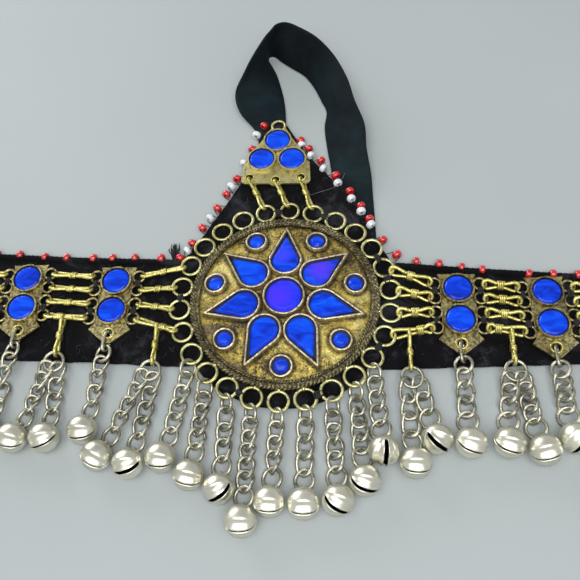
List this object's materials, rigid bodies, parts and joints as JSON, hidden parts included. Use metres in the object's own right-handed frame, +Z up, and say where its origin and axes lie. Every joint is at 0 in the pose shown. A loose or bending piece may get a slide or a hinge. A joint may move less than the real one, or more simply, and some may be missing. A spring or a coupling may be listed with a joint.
{
  "type": "head chain",
  "caption": "Head chain of black velvet with a pointed peak, a round brass medallion set with blue glass petals, small set plates, wire links, hanging bell chains and a ribbon strap.",
  "frame": {"origin": "on the table under the middle of the medallion, on the face that the cloth lies on", "axes": "+Z up from the table, +Y towards the peak and strap, +X towards the band's right end as the viewer sees it; the bells hang towards -Y"},
  "size_m": [0.2637, 0.1864, 0.0161],
  "materials": {
    "velvet": "matte",
    "ribbon": "satin",
    "old_brass": "aged",
    "plate_brass": "aged",
    "brass_wire": "satin",
    "nickel": "polished",
    "blue_glass": "gloss"
  },
  "bodies": {
    "root": {"cloth_band": "velvet", "strap": "ribbon", "medallion": "old_brass", "centre_stone": "blue_glass", "small_stones": "blue_glass", "petal_stone_1": "blue_glass", "petal_stone_2": "blue_glass", "petal_stone_3": "blue_glass", "petal_stone_4": "blue_glass", "petal_stone_5": "blue_glass", "petal_stone_6": "blue_glass", "petal_stone_7": "blue_glass", "peak_plate": "plate_brass", "peak_stone_1": "blue_glass", "peak_stone_2": "blue_glass", "peak_stone_3": "blue_glass", "peak_links": "brass_wire", "end_hook": "brass_wire", "plate_left_1": "plate_brass", "plate_left_2": "plate_brass", "plate_left_3": "plate_brass", "plate_right_1": "plate_brass", "plate_right_2": "plate_brass", "plate_right_3": "plate_brass", "plate_stones_left_1": "blue_glass", "plate_stones_left_2": "blue_glass", "plate_stones_left_3": "blue_glass", "plate_stones_right_1": "blue_glass", "plate_stones_right_2": "blue_glass", "plate_stones_right_3": "blue_glass", "links_left_1": "brass_wire", "links_left_2": "brass_wire", "links_left_3": "brass_wire", "links_right_1": "brass_wire", "links_right_2": "brass_wire", "links_right_3": "brass_wire", "bell_chain_1": "nickel", "bell_chain_2": "nickel", "bell_chain_3": "nickel", "bell_chain_4": "nickel", "bell_chain_5": "nickel", "bell_chain_6": "nickel", "bell_chain_7": "nickel", "bell_chain_8": "nickel", "bell_chain_9": "nickel", "plate_chain_left_1": "nickel", "plate_chain_left_2": "nickel", "plate_chain_left_3": "nickel", "plate_chain_right_1": "nickel", "plate_chain_right_2": "nickel", "plate_chain_right_3": "nickel", "drop_chains_left_1": "nickel", "drop_chains_left_2": "nickel", "drop_chains_left_3": "nickel", "drop_chains_right_1": "nickel", "drop_chains_right_2": "nickel", "drop_chains_right_3": "nickel"}
  },
  "joints": []
}
